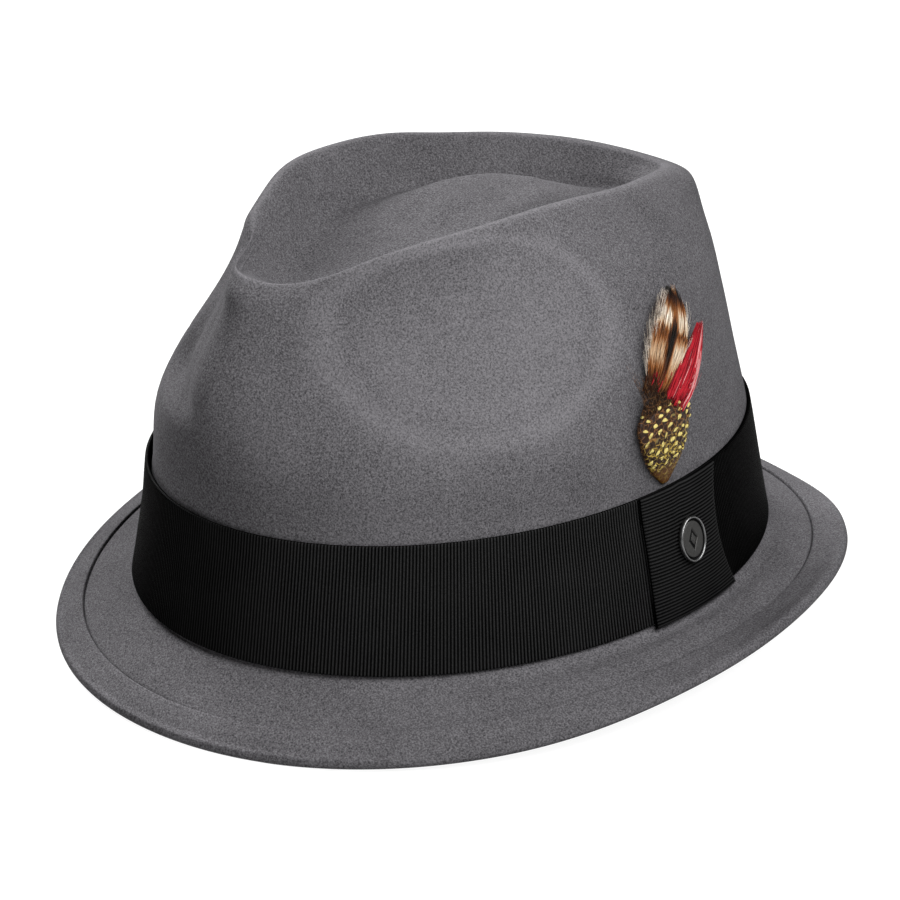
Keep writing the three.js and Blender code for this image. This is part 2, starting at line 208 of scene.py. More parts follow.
def dish_depth(angle, z):
    inside = 1 - dish_reach(angle, z) ** 1.5
    fuller_below = 1 + DISH.fuller * (DISH.fuller_under - z)
    return DISH.deep * fuller_below * (inside + np.hypot(inside, DISH.lip)) / 2


def pinch_depth(angle, z, u):
    beside = plateau(from_front(angle), PINCH.rear, PINCH.front)
    below_channel = 1 - smooth_step(u, RIM_U - 2, CHANNEL_U)
    return PINCH.deep * beside * smooth_step(z, *PINCH.heights) * below_channel


def rim_lean(angle, u):
    """How far the rim of the crown stands in behind the pinch."""
    near_rim = plateau(u, (RIM_U - 3.5, RIM_U - 1.5), (RIM_U + 1, CHANNEL_U))
    return LEAN.deep * hump(from_front(angle), LEAN.middle, LEAN.wide) * near_rim


def felt_point(angle, u):
    """Points of the felt's outer face: angle round the hat, and u counted in stations."""
    angle, u = np.broadcast_arrays(np.asarray(angle, float), np.asarray(u, float))
    shape, angle, u = angle.shape, angle.ravel(), u.ravel()
    turn = (angle % 360) / TURN_STEP
    j = turn.astype(int) % len(FELT_TURNS)
    share = turn - np.floor(turn)
    i = np.clip(np.floor(u).astype(int), 0, LAST_U - 1)
    before, after = np.maximum(i - 1, 0), np.minimum(i + 2, LAST_U)
    span = KNOTS[i + 1] - KNOTS[i]

    def station(k, axis):
        here, there = FELT_SECTIONS[k, axis, j], FELT_SECTIONS[k, axis, (j + 1) % len(FELT_TURNS)]
        return here + (there - here) * share

    curves = []
    for axis in (0, 1):
        a, b = station(i, axis), station(i + 1, axis)
        slope_a = (b - station(before, axis)) / (KNOTS[i + 1] - KNOTS[before]) * span
        slope_b = (station(after, axis) - a) / (KNOTS[after] - KNOTS[i]) * span
        curves.append(hermite(u - i, a, b, slope_a, slope_b))
    r, z = curves
    under_rim = 1 - smooth_step(u, RIM_U - 1.2, RIM_U - 0.2)
    r = r - dish_depth(angle, np.clip(z, *DISH.heights)) * under_rim
    r = r - pinch_depth(angle, z, u) - rim_lean(angle, u)
    back = DOME_BACK * smooth_step(u, CHANNEL_U - 1, LAST_U + 1)
    turned = np.radians(angle)
    points = np.stack([r * np.sin(turned), back - r * np.cos(turned), z + BAND_Z], -1)
    return points.reshape(*shape, 3)


def unit(vectors):
    return vectors / np.maximum(np.linalg.norm(vectors, axis=-1, keepdims=True), 1e-9)


def felt_normal(angle, u, turn=0.5, rise=0.02):
    """The outward direction, from places a little way off on all sides."""
    up = felt_point(angle, np.minimum(u + rise, LAST_U)) - felt_point(angle, np.maximum(u - rise, 0))
    return unit(np.cross(felt_point(angle + turn, u) - felt_point(angle - turn, u), up))


def mesh_piece(name, points, faces, finishes, face_finish=None, marks=None):
    """An object from points in millimetres, its faces and its materials.

    marks are values that the materials read by name. They are for the first points, and 0 at the rest.
    """
    mesh = bpy.data.meshes.new(name)
    mesh.from_pydata((np.asarray(points) / 1000).tolist(), [], faces)
    for finish in finishes:
        mesh.materials.append(finish)
    if face_finish is not None:
        mesh.polygons.foreach_set("material_index", face_finish)
    for mark, values in (marks or {}).items():
        at_points = np.zeros(len(points), np.float32)
        at_points[: np.size(values)] = np.ravel(values)
        mesh.attributes.new(mark, "FLOAT", "POINT").data.foreach_set("value", at_points)
    mesh.polygons.foreach_set("use_smooth", [True] * len(mesh.polygons))
    mesh.validate()
    piece = bpy.data.objects.new(name, mesh)
    bpy.context.scene.collection.objects.link(piece)
    return piece


def ring_faces(rows, around):
    """Quads between rows of points that each close on themselves."""
    i, j = np.meshgrid(np.arange(rows - 1), np.arange(around), indexing="ij")
    a, b = i * around + j, i * around + (j + 1) % around
    return np.stack([a, b, b + around, a + around], -1).reshape(-1, 4).tolist()


def end_fans(count, around):
    """Triangles that close the first and last row of count points onto the two points that follow."""
    first_middle, last_middle, last_row = count, count + 1, count - around
    faces = []
    for j in range(around):
        following = (j + 1) % around
        faces.append([first_middle, following, j])
        faces.append([last_middle, last_row + j, last_row + following])
    return faces


def set_stops(elements, stops):
    """A ramp's colours at their places. It starts with two, which the first and the last stop take."""
    for place, _ in stops[1:-1]:
        elements.new(place)
    for element, (place, colour) in zip(elements, stops):
        element.position, element.color = place, (*colour, 1)


class Wire:
    """A socket of a material's nodes. Sums on wires add the nodes that work them out."""

    def __init__(self, tree, socket=None):
        self.tree, self.socket = tree, socket

    def node(self, kind, settings, values, output=0):
        """Any node: its type, its settings, and the values or wires of its sockets."""
        made = self.tree.nodes.new("ShaderNode" + kind)
        for setting, value in settings.items():
            if setting == "stops":
                set_stops(made.color_ramp.elements, value)
            else:
                setattr(made, setting, value)
        for name, value in values.items():
            if isinstance(value, Wire):
                self.tree.links.new(value.socket, made.inputs[name])
            else:
                made.inputs[name].default_value = value
        return Wire(self.tree, made.outputs[output])

    def maths(self, operation, *values):
        return self.node("Math", {"operation": operation}, dict(enumerate(values)))

    def __add__(self, other):
        return self.maths("ADD", self, other)

    def __sub__(self, other):
        return self.maths("SUBTRACT", self, other)

    def __rsub__(self, other):
        return self.maths("SUBTRACT", other, self)

    def __mul__(self, other):
        return self.maths("MULTIPLY", self, other)

    __radd__, __rmul__ = __add__, __mul__

    def mixed(self, dark, light):
        """A colour between two colours, with this wire as the share of the second."""
        return self.node("Mix", {"data_type": "RGBA"}, {0: self, 6: dark, 7: light}, output=2)

    def stepped(self, low, high):
        """0 below low, 1 above high and smooth between."""
        settings = {"interpolation_type": "SMOOTHSTEP"}
        return self.node("MapRange", settings, {"Value": self, "From Min": low, "From Max": high})

    def noise(self, scale, detail=2.0, roughness=0.5, distortion=0.0, output=0):
        """Noise at the places that this wire carries."""
        values = {"Scale": scale, "Detail": detail, "Roughness": roughness, "Distortion": distortion}
        return self.node("TexNoise", {}, {"Vector": self, **values}, output)

    def mark(self, name):
        """The values that a mesh carries at its points under a name."""
        return self.node("Attribute", {"attribute_name": name}, {}, output="Fac")


def new_finish(name, **shader_values):
    """A material with one shader, and a wire of the places on the piece to start its nodes from."""
    finish = bpy.data.materials.new(name)
    finish.use_nodes = True
    shader = next(n for n in finish.node_tree.nodes if n.type == "BSDF_PRINCIPLED")
    for socket, value in shader_values.items():
        shader.inputs[socket.replace("_", " ")].default_value = value
    return finish, shader, Wire(finish.node_tree).node("TexCoord", {}, {}, output="Object")


def finish_with(shader, colour, height=None, depth=0.0001, roughness=None):
    """Joins a colour, a bump and a roughness to a material's shader."""
    tree = colour.tree
    tree.links.new(colour.socket, shader.inputs["Base Color"])
    if roughness is not None:
        tree.links.new(roughness.socket, shader.inputs["Roughness"])
    if height is not None:
        bump = colour.node("Bump", {}, {"Height": height, "Distance": depth, "Strength": 1.0})
        tree.links.new(bump.socket, shader.inputs["Normal"])


FELT_DARK = (0.012, 0.0116, 0.0127, 1)
FELT_LIGHT = (0.110, 0.1062, 0.1127, 1)
felt_finish, felt_shader, place = new_finish("grey_wool_felt", Roughness=0.95, Specular_IOR_Level=0.03)
flock = place.noise(2000, detail=3, roughness=0.65)
fibres = place.noise(950, detail=4, roughness=0.7, distortion=2.2)
clouds = place.noise(42)
mottle = flock * 0.72 + fibres * 0.24 + clouds * 0.1
# The mark read here is painted highlight, painted light and painted shade on the felt.
felt_tone = (mottle + place.mark("rubbed") * 0.09).stepped(0.3, 0.78)
finish_with(felt_shader, felt_tone.mixed(FELT_DARK, FELT_LIGHT), flock * 0.6 + fibres * 0.4, depth=0.00007)

COLUMNS, ROWS_PER_SPAN = 432, 7
turns = np.arange(COLUMNS) * 360 / COLUMNS
outer_u = np.linspace(LAST_U, 0, LAST_U * ROWS_PER_SPAN, endpoint=False)
hood_rows = [felt_point(turns, u) for u in outer_u]

# The felt is painted paler as a painted highlight along the lips of the dishes and the rim of the crown,
# and as painted light inside each dish, more so low down and to the rear of its middle. The crease is
# painted dark as painted shade.
PAINTED_LIGHT_SHADE = Sizes(lip=0.65, lip_wide=0.1, rim=0.75, rim_wide=0.6, crease=1.7, crease_wide=0.4)
PAINTED_DISH_LIGHT = Sizes(least_z=50, middle_z=86, tall=24, at_middle=0.42, more=0.22, fade=0.25)
height = np.array([row[:, 2] - BAND_Z for row in hood_rows])
row_u = outer_u[:, None]
reach = dish_reach(turns, height)
rearward = (np.abs(from_front(turns)) - DISH.angle) / DISH.wide
downward = (PAINTED_DISH_LIGHT.middle_z - height) / PAINTED_DISH_LIGHT.tall
painted_dish_light = np.clip(PAINTED_DISH_LIGHT.at_middle + PAINTED_DISH_LIGHT.more * (rearward + downward), 0, 1)
painted_dish_light = painted_dish_light * smooth_step(1 - reach, 0, PAINTED_DISH_LIGHT.fade)
lip = np.maximum(PAINTED_LIGHT_SHADE.lip * hump(reach, 1, PAINTED_LIGHT_SHADE.lip_wide), painted_dish_light)
lip = lip * (row_u < RIM_U - 0.5) * (height > PAINTED_DISH_LIGHT.least_z)
rim = PAINTED_LIGHT_SHADE.rim * hump(row_u, RIM_U - 0.1, PAINTED_LIGHT_SHADE.rim_wide)
# Painted shade darkens the crease, except where it is felted away.
painted_crease_shade = PAINTED_LIGHT_SHADE.crease * hump(row_u, CREASE_U, PAINTED_LIGHT_SHADE.crease_wide) * (1 - felted_flush(turns))
hood_marks = {"rubbed": np.maximum(lip, rim) - painted_crease_shade}

edge = felt_point(turns, 0)
edge_reach = np.hypot(edge[:, 0], edge[:, 1])


def under_edge(inward, down):
    """A row on the underside of the folded edge, no lower than the surface that the hat rests on."""
    shrink = 1 - inward / edge_reach
    return np.stack([edge[:, 0] * shrink, edge[:, 1] * shrink, np.maximum(edge[:, 2] - down, 0)], -1)


for bend in np.radians(np.arange(0, 91, 15)):
    hood_rows.append(under_edge(0.9 * ROLL * (1 - np.cos(bend)), ROLL * np.sin(bend)))
hood_rows.append(under_edge(2 * ROLL, ROLL))
for u in np.linspace(WELT_U, LAST_U, (LAST_U - WELT_U) * 2 + 1):
    hood_rows.append(felt_point(turns, u) - FELT * felt_normal(turns, u))
hood_points = np.concatenate(hood_rows)
hood_faces = ring_faces(len(hood_rows), COLUMNS) + end_fans(len(hood_points), COLUMNS)
crown_top = [[0, DOME_BACK, DOME_TOP + BAND_Z], [0, DOME_BACK, DOME_TOP + BAND_Z - FELT]]
hood_points = np.vstack([hood_points, crown_top])
hood = mesh_piece("felt_hood_dressed", hood_points, hood_faces, [felt_finish], marks=hood_marks)
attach(hood, "root")
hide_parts("felt_hood")

# Ribbon band: black grosgrain, 38 mm wide, drawn tight round the foot of the crown and tacked to it.
# Its ribs run up and down, with a painted highlight on their tops that is strongest on the side the lamps
# light, and painted shade in their grooves.
GAP = 0.3  # clearance between neighbouring pieces
RIBBON = 1.0  # thickness, ribs included
RIBS, RIB_SAMPLES, RIB_DEPTH = 590, 5, 0.32
# Painted shade is the grooves' colour, and a painted highlight the ribs' colour.
GROOVE_PAINTED_SHADE = (0.0002, 0.0002, 0.0002, 1)
RIB_PAINTED_HIGHLIGHT = (0.0165, 0.0165, 0.0167, 1)
# The top edge stands a little off the felt beside the pinch: how far, round which angle and how widely.
STANDING_OFF = Sizes(out=1.3, middle=-42, wide=34, from_share=0.55)
# How much painted highlight the rib tops get at least, and between which angles, on the lit side, that
# grows to all and falls back.
PAINTED_LIT_SIDE = Sizes(least=0.12, grows=(-12, 28), falls=(106, 114))
grosgrain_finish, grosgrain_shader, place = new_finish("black_grosgrain", Specular_IOR_Level=0.008)
threads = place.noise(2600)
wear = place.noise(60, detail=3)
# The rib tops take the painted highlight and the grooves the painted shade, with random wear on top.
painted_rib_light = place.mark("cord_top") * (threads * 1.4 + 0.25) + wear * 0.2 - 0.1
ribbon_black = painted_rib_light.mixed(GROOVE_PAINTED_SHADE, RIB_PAINTED_HIGHLIGHT)
finish_with(grosgrain_shader, ribbon_black, threads, roughness=wear * 0.2 + 0.4)


def rib_groove(sample):
    """Depth of the groove at a sample across the ribs: 1 between two ribs and 0 on top of one."""
    return 1 - np.abs(np.sin(math.pi * sample / RIB_SAMPLES)) ** 0.7


def rib_top(sample):
    """1 along the top of each rib, which is where the painted highlight goes."""
    return np.sin(math.pi * sample / RIB_SAMPLES) ** 4


band_samples = np.arange(RIBS * RIB_SAMPLES)
whole_turn = np.append(FELT_TURNS, 360)
girth = felt_point(whole_turn, sum(BAND_U) / 2)
run = np.concatenate([[0], np.cumsum(np.linalg.norm(np.diff(girth, axis=0), axis=1))])
rib_turns = np.interp(band_samples / len(band_samples) * run[-1], run, whole_turn)
rib_side = from_front(rib_turns)
top_edge_out = STANDING_OFF.out * hump(rib_side, STANDING_OFF.middle, STANDING_OFF.wide)


def band_row(share, lift, groove):
    """One closed row of the band at a share of its height, with the ribs' grooves cut into it."""
    point = felt_point(rib_turns, BAND_U[0] + (BAND_U[1] - BAND_U[0]) * share)
    out = np.stack([point[:, 0], point[:, 1], np.zeros(len(point))], -1)
    standing = top_edge_out * smooth_step(share, STANDING_OFF.from_share, 1)
    rib_lift = lift - groove * RIB_DEPTH * rib_groove(band_samples) + standing
    return point + unit(out) * rib_lift[:, None]


# The band's cross-section, up its back and down its face: share of its height, lift off the felt, and how
# much of the ribs' grooves it has.
face_lift = GAP + RIBBON
section = [(share, 0.5 * GAP, 0) for share in (0.004, 0.25, 0.5, 0.75, 0.996)]
section += [(1.0, 0.5 * face_lift, 0.5), (1.0, face_lift - 0.2, 1), (0.993, face_lift, 1)]
section += [(share, face_lift, 1) for share in np.linspace(0.975, 0.025, 9)]
section += [(0.007, face_lift, 1), (0.0, face_lift - 0.2, 1), (0.0, 0.5 * face_lift, 0.5)]
band_points = np.concatenate([band_row(*station) for station in section])
band_faces = ring_faces(len(section) + 1, len(band_samples))
band_faces = [[k % len(band_points) for k in face] for face in band_faces]
# Painted light: rib tops are lighter on the side that the lamps light, darker round the rest.
painted_lit_side = plateau(rib_side, PAINTED_LIT_SIDE.grows, PAINTED_LIT_SIDE.falls)
painted_lit_side = PAINTED_LIT_SIDE.least + (1 - PAINTED_LIT_SIDE.least) * painted_lit_side
band_tops = [painted_lit_side * rib_top(band_samples) * (groove == 1) for _, _, groove in section]
band = mesh_piece(
    "ribbon_band_dressed", band_points, band_faces, [grosgrain_finish], marks={"cord_top": band_tops}
)
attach(band, "root")
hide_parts("ribbon_band")

# Ribbon tab: a short length of the same grosgrain laid flat over the ribbon's join, with its ribs level.
# Both ends are folded under and sewn down, its rear side draws in, and it puffs out in the middle.
TAB = Sizes(front=91.5, rear=116.5, waist=2.9, low=-1.2, high=37.2, edge=1.2, puff=1.3)
TAB_LIFT = RIBBON + 2 * GAP
TAB_WIDE, TAB_TALL, TAB_COLUMNS = 36, 39, 44
TAB_RIB_PITCH, TAB_RIB_DEPTH, TAB_PAINTED_HIGHLIGHT = 0.97, 0.3, 0.85
CLOTH, HEM, SOFT_PUFF = 0.5, 7.0, 0.5
# The cloth is held down round the badge's pins and creased from there upwards. Places are shares of the
# tab's width and height, and sizes are millimetres.
HELD_DOWN = Sizes(u=0.53, v=0.53, wide=7.5, tall=8.5, deep=0.55)
CREASED = Sizes(u=0.42, v=0.75, slant=0.25, wide=2.2, deep=0.35, from_v=0.6, full_v=0.78)
FELT_BEND = 1.0  # height under which the felt bends away from the tab
SIDE_STEP = 0.5  # degrees between the columns of places on the crown's left side
SIDE_ANGLES = np.arange(84, 133, SIDE_STEP)
SIDE_HEIGHTS = np.arange(-6, 103, 1.0)


def search_crown(angle, z):
    """Stations at which the felt has the given heights over the ribbon's lower edge."""
    low, high = np.full_like(angle, BAND_U[0]), np.full_like(angle, RIM_U)
    for _ in range(24):
        middle = (low + high) / 2
        below = felt_point(angle, middle)[..., 2] - BAND_Z < z
        low, high = np.where(below, middle, low), np.where(below, high, middle)
    return low


side_angle, side_z = np.meshgrid(SIDE_ANGLES, SIDE_HEIGHTS, indexing="ij")
side_u = search_crown(side_angle, np.maximum(side_z, FELT_BEND))
side_normals = felt_normal(side_angle, side_u)
side_points = felt_point(side_angle, side_u)
bend_row = int(np.searchsorted(SIDE_HEIGHTS, FELT_BEND))
straight = unit(side_points[:, bend_row] - side_points[:, bend_row + 4])
side_points = side_points + straight[:, None] * np.maximum(FELT_BEND - side_z, 0)[..., None]


def on_crown(angle, z, lift):
    """Places on the crown's left side, lifted off the felt."""
    a = np.clip((angle - SIDE_ANGLES[0]) / SIDE_STEP, 0, len(SIDE_ANGLES) - 1.001)
    h = np.clip(z - SIDE_HEIGHTS[0], 0, len(SIDE_HEIGHTS) - 1.001)
    i, j = a.astype(int), h.astype(int)
    s, t = (a - i)[..., None], (h - j)[..., None]

    def between(grid):
        low = grid[i, j] * (1 - s) + grid[i + 1, j] * s
        high = grid[i, j + 1] * (1 - s) + grid[i + 1, j + 1] * s
        return low * (1 - t) + high * t

    return between(side_points) + unit(between(side_normals)) * np.asarray(lift)[..., None]


def tab_angle(u, v):
    """The tab by shares of its width and height: angle round the hat, drawn in towards the rear."""
    return TAB.front + (TAB.rear - TAB.front) * u - TAB.waist * np.sin(math.pi * v) * u


def tab_puff(u, v):
    return TAB.puff * np.sqrt(np.abs(np.sin(math.pi * u) * np.sin(math.pi * v)))


def tab_front(u, v):
    """The place that the tab's face has in the plain solid, which the badge is seated on."""
    u, v = np.asarray(u, float), np.asarray(v, float)
    z = TAB.low + (TAB.high - TAB.low) * v
    return on_crown(tab_angle(u, v), z, TAB_LIFT + TAB.edge + tab_puff(u, v))


def sheet_faces(rows, columns):
    """Faces of a sheet of cloth: a grid in front, the same grid behind it, and the border between them."""
    width, count, faces = columns + 1, (columns + 1) * (rows + 1), []
    for i in range(rows):
        for j in range(columns):
            a = i * width + j
            faces.append([a, a + 1, a + width + 1, a + width])
            faces.append([count + a, count + a + width, count + a + width + 1, count + a + 1])
    border = list(range(columns)) + [i * width + columns for i in range(rows)]
    border += [rows * width + j for j in range(columns, 0, -1)] + [i * width for i in range(rows, 0, -1)]
    for k, a in enumerate(border):
        b = border[(k + 1) % len(border)]
        faces.append([b, a, count + a, count + b])
    return faces


# The run of the ribbon from one hem, over the top fold, down the face and under the low fold to the other.
fold = (TAB.edge - CLOTH) / 2 + 0.1
face_rise = TAB.high - TAB.low - 2 * (fold + CLOTH / 2)
fold_run = math.pi * fold
tab_run = 2 * HEM + 2 * fold_run + face_rise
tab_rows = int(round(tab_run / TAB_RIB_PITCH)) * RIB_SAMPLES
along = np.linspace(0, tab_run, tab_rows + 1)
part_ends = np.cumsum([HEM, fold_run, face_rise, fold_run])
part = np.searchsorted(part_ends, along, side="right")
since = along - np.concatenate([[0], part_ends])[part]
high_edge, low_edge = TAB.high - fold - CLOTH / 2, TAB.low + fold + CLOTH / 2
hem_lift = TAB_LIFT + CLOTH / 2
fold_rise, fold_out = fold * np.sin(since / fold), fold * np.cos(since / fold)
tab_z = np.choose(part, [
    high_edge - HEM + since, high_edge + fold_rise,  # the upper hem and its fold
    high_edge - since,  # the face
    low_edge - fold_rise, low_edge + since,  # the lower fold and its hem
])
tab_lift = hem_lift + np.choose(part, [0, fold - fold_out, 2 * fold, fold + fold_out, 0])
slope_z, slope_lift = np.gradient(tab_z, along), np.gradient(tab_lift, along)
slope_size = np.hypot(slope_z, slope_lift)
out_z, out_lift = slope_lift / slope_size, -slope_z / slope_size
tab_samples = np.arange(tab_rows + 1)
across = np.linspace(0, 1, TAB_COLUMNS + 1)[None]


def tab_face(offset, groove):
    """One face of the tab's cloth, as rows along the ribbon."""
    cloth_out = offset - groove * TAB_RIB_DEPTH * rib_groove(tab_samples)
    z = (tab_z + out_z * cloth_out)[:, None] + 0 * across
    lift = (tab_lift + out_lift * cloth_out)[:, None] + 0 * across
    v = np.clip((z - TAB.low) / (TAB.high - TAB.low), 0, 1)
    u = across + 0 * z
    on_face = np.clip((tab_lift - hem_lift) / (2 * fold), 0, 1)[:, None]
    held = hump(u * TAB_WIDE, HELD_DOWN.u * TAB_WIDE, HELD_DOWN.wide)
    held = held * hump(v * TAB_TALL, HELD_DOWN.v * TAB_TALL, HELD_DOWN.tall)
    crease_u = CREASED.u + CREASED.slant * (v - CREASED.v)
    crease = hump(u * TAB_WIDE, crease_u * TAB_WIDE, CREASED.wide)
    crease = crease * smooth_step(v, CREASED.from_v, CREASED.full_v)
    puffed = tab_puff(u, v) + SOFT_PUFF * np.sin(math.pi * u) * np.sin(math.pi * v)
    puffed = puffed - HELD_DOWN.deep * held - CREASED.deep * crease
    return on_crown(tab_angle(u, v), z, lift + on_face * puffed)


tab_points = np.concatenate([tab_face(CLOTH / 2, 1).reshape(-1, 3), tab_face(-CLOTH / 2, 0).reshape(-1, 3)])
# The tab's rib tops get the same painted highlight, evenly all across.
tab_tops = np.repeat(TAB_PAINTED_HIGHLIGHT * rib_top(tab_samples), TAB_COLUMNS + 1)
tab_faces = sheet_faces(tab_rows, TAB_COLUMNS)
tab = mesh_piece(
    "ribbon_tab_dressed", tab_points, tab_faces, [grosgrain_finish], marks={"cord_top": tab_tops}
)
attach(tab, "root")
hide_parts("ribbon_tab")
tab_run / 1000

# Badge: a small cast oval with a polished rim, a blackened channel and a matt field, pinned through the
# tab. The field carries a plain sunk lozenge.
BADGE = Sizes(long=13.5, wide=10.9, thick=1.7, u=0.51, v=0.56)
BADGE_SIDES, FIELD_RINGS = 144, 36
POLISHED, FIELD, BLACKENED = 0, 1, 2
# The rim and the channel inside it, from the back of the badge inwards: how far in, share of its thickness,
# and the finish of the ring that follows.
BADGE_RIM = {
    "inset": [0.5, 0.1, 0, 0.05, 0.18, 0.38, 0.58, 0.72, 0.78, 1.3, 1.38],
    "rise": [0, 0.25, 0.5, 0.75, 0.93, 1, 0.93, 0.75, 0.4, 0.4, 0.62],
    "finish": [POLISHED] * 7 + [BLACKENED] * 3 + [FIELD],
}
FIELD_EDGE, FIELD_MIDDLE = 1.5, 0.12  # inset of the field's edge, and the radius where its rings end
FIELD_RISE, FIELD_SWELL = 0.7, 0.08
LOZENGE = Sizes(half_wide=2.5, half_tall=3.4, middle=0.78, breadth=0.26, deep=0.32, black=0.6)
BOSS = Sizes(reach=0.32, high=0.1)


def badge_finish(name, scale, detail, dark, light, depth, roughness=None, **shader_values):
    """Cast metal with a fine grain. roughness is what the grain adds to it, and from what."""
    finish, shader, place = new_finish(name, **shader_values)
    grain = place.noise(scale, detail)
    rough = None if roughness is None else grain * roughness[0] + roughness[1]
    finish_with(shader, grain.mixed((*dark, 1), (*light, 1)), grain, depth, rough)
    return finish


badge_finishes = [
    badge_finish("polished_steel", 900, 3, (0.13, 0.13, 0.13), (0.2, 0.2, 0.2), depth=0.00002,
                 roughness=(0.15, 0.3), Metallic=1.0),
    badge_finish("matt_steel", 4200, 2, (0.024, 0.024, 0.023), (0.05, 0.049, 0.047), depth=0.00008,
                 roughness=(0.25, 0.42), Metallic=0.85),
    badge_finish("blackened_recess", 3000, 2, (0.001, 0.001, 0.001), (0.004, 0.004, 0.004), depth=0.00005,
                 Roughness=0.7, Specular_IOR_Level=0.05),
]


def lozenge_cut(x, y):
    """How far the sunk lozenge is cut at a place of the field, and how far the boss inside it rises."""
    reach_out = np.abs(x) / LOZENGE.half_wide + np.abs(y) / LOZENGE.half_tall
    ring = smooth_step(LOZENGE.breadth - np.abs(reach_out - LOZENGE.middle), 0, 0.1)
    return ring, smooth_step(BOSS.reach - reach_out, 0, 0.12)


badge_r, badge_t = BADGE.long / 2, BADGE.thick
badge_turns = np.radians(np.arange(BADGE_SIDES) * 360 / BADGE_SIDES)
badge_rings = [(badge_r - inset, rise, kind) for inset, rise, kind in zip(*BADGE_RIM.values())]
for r in np.linspace(badge_r - FIELD_EDGE, FIELD_MIDDLE, FIELD_RINGS):
    badge_rings.append((r, FIELD_RISE + FIELD_SWELL * (1 - r / badge_r), FIELD))
badge_rows, badge_kinds = [], []
for r, rise, kind in badge_rings:
    x, y = r * np.cos(badge_turns), r * np.sin(badge_turns)
    ring, boss = lozenge_cut(x, y)
    top = rise * badge_t - LOZENGE.deep * ring + BOSS.high * boss
    badge_rows.append(np.stack([x, y, top], -1))
    badge_kinds.append(np.where(ring > LOZENGE.black, BLACKENED, kind))
badge_points = np.concatenate(badge_rows) * [BADGE.wide / BADGE.long, 1, 1]
badge_faces = ring_faces(len(badge_rows), BADGE_SIDES) + end_fans(len(badge_points), BADGE_SIDES)
badge_kinds = np.append(np.concatenate(badge_kinds[:-1]), [POLISHED, FIELD] * BADGE_SIDES)
field_top = badge_t * (FIELD_RISE + FIELD_SWELL) + BOSS.high
badge_points = np.vstack([badge_points, [[0, 0, 0], [0, 0, field_top]]])

STEP = 0.05  # share of the tab over which its slope is taken
seat_u, seat_v = BADGE.u, BADGE.v
badge_across = unit(tab_front(seat_u + STEP, seat_v) - tab_front(seat_u - STEP, seat_v))
badge_up = unit(tab_front(seat_u, seat_v + STEP) - tab_front(seat_u, seat_v - STEP))
badge_out = unit(np.cross(badge_across, badge_up))
badge_axes = np.stack([np.cross(badge_up, badge_out), badge_up, badge_out])
badge_points = badge_points @ badge_axes + tab_front(seat_u, seat_v) + GAP * badge_out
badge = mesh_piece("badge_dressed", badge_points, badge_faces, badge_finishes, badge_kinds.tolist())
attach(badge, "root")
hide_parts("badge")

# Feather pad: the breast feathers of a game bird, laid over each other like scales on a card backing and
# glued down, dark brown with a pale gold spot near each feather's end. The plumes are tucked under its top.
SIDE_RADIUS = 74  # of the crown's side, which turns the feathers' widths into angles
PAD = {
    "foot": (100.9, 38.0, GAP), "tip": (99.1, 64.6, 2.4),  # angle, height and lift off the felt
    "width": [3, 11.5, 17, 20.8, 22.2, 16], "thick": [1.2, 2.2, 2.6, 2.6, 2.0, 1.0],
}
# The pale spots, in rows up the pad: their spacing, their half length and half breadth, and their slant.
SPOTS = Sizes(
    rows=11, columns=6, first=3.8, row_rise=2.1, spacing=3.9, raised=0.3,
    long=(0.8, 1.35), thick=(0.42, 0.62), slant=48, rear_slant=5,
)
WEAK_UNDER, SLANTED_UNDER, CAPPED_OVER = 6.5, 19, 17  # heights at which the spots change
EDGE_BARBS, TUFT_BARBS, BARB_STEPS = 260, 460, 6
# Barbs along the pad's sides and tufts at its top: shares of the pad's length, and millimetres broad.
EDGE = Sizes(root=(0.12, 0.92), run=(0.03, 0.09), broad=0.42)
TUFT = Sizes(root=(0.88, 0.98), run=0.07, loose_run=0.5, broad=0.2)
GILT_SHARE = 0.3


def eased(values, v):
    """A value between the evenly spaced entries of a short list, on a smooth curve through them."""
    values = np.asarray(values, float)
    at = np.clip(v, 0, 1) * (len(values) - 1)
    i = np.minimum(at.astype(int), len(values) - 2)
    slopes = np.gradient(values)
    return hermite(at - i, values[i], values[i + 1], slopes[i], slopes[i + 1])


def feather_place(spec, u, v, lift):
    """Places of a feather: u across it from -1 to 1, v along it, and the height over its back face."""
    (foot_angle, foot_z, foot_lift), (tip_angle, tip_z, tip_lift) = spec["foot"], spec["tip"]
    run, rise = math.radians(tip_angle - foot_angle) * SIDE_RADIUS, tip_z - foot_z
    length = math.hypot(run, rise)
    offset = u / 2 * eased(spec["width"], v)
    side = (run * v + offset * rise / length) / SIDE_RADIUS
    height = foot_z + rise * v - offset * run / length
    return on_crown(foot_angle + np.degrees(side), height, foot_lift + (tip_lift - foot_lift) * v + lift)


def feather_slab(spec, columns, rows, face_height):
    """A closed slab with the feather's outline, and the u and v of its points."""
    u, v = np.meshgrid(np.linspace(-1, 1, columns + 1), np.linspace(0, 1, rows + 1))
    front = feather_place(spec, u, v, face_height(spec, u, v))
    rear = feather_place(spec, u, v, np.zeros_like(u))
    points = np.concatenate([front.reshape(-1, 3), rear.reshape(-1, 3)])
    return points, sheet_faces(rows, columns), np.tile(u.ravel(), 2), np.tile(v.ravel(), 2)


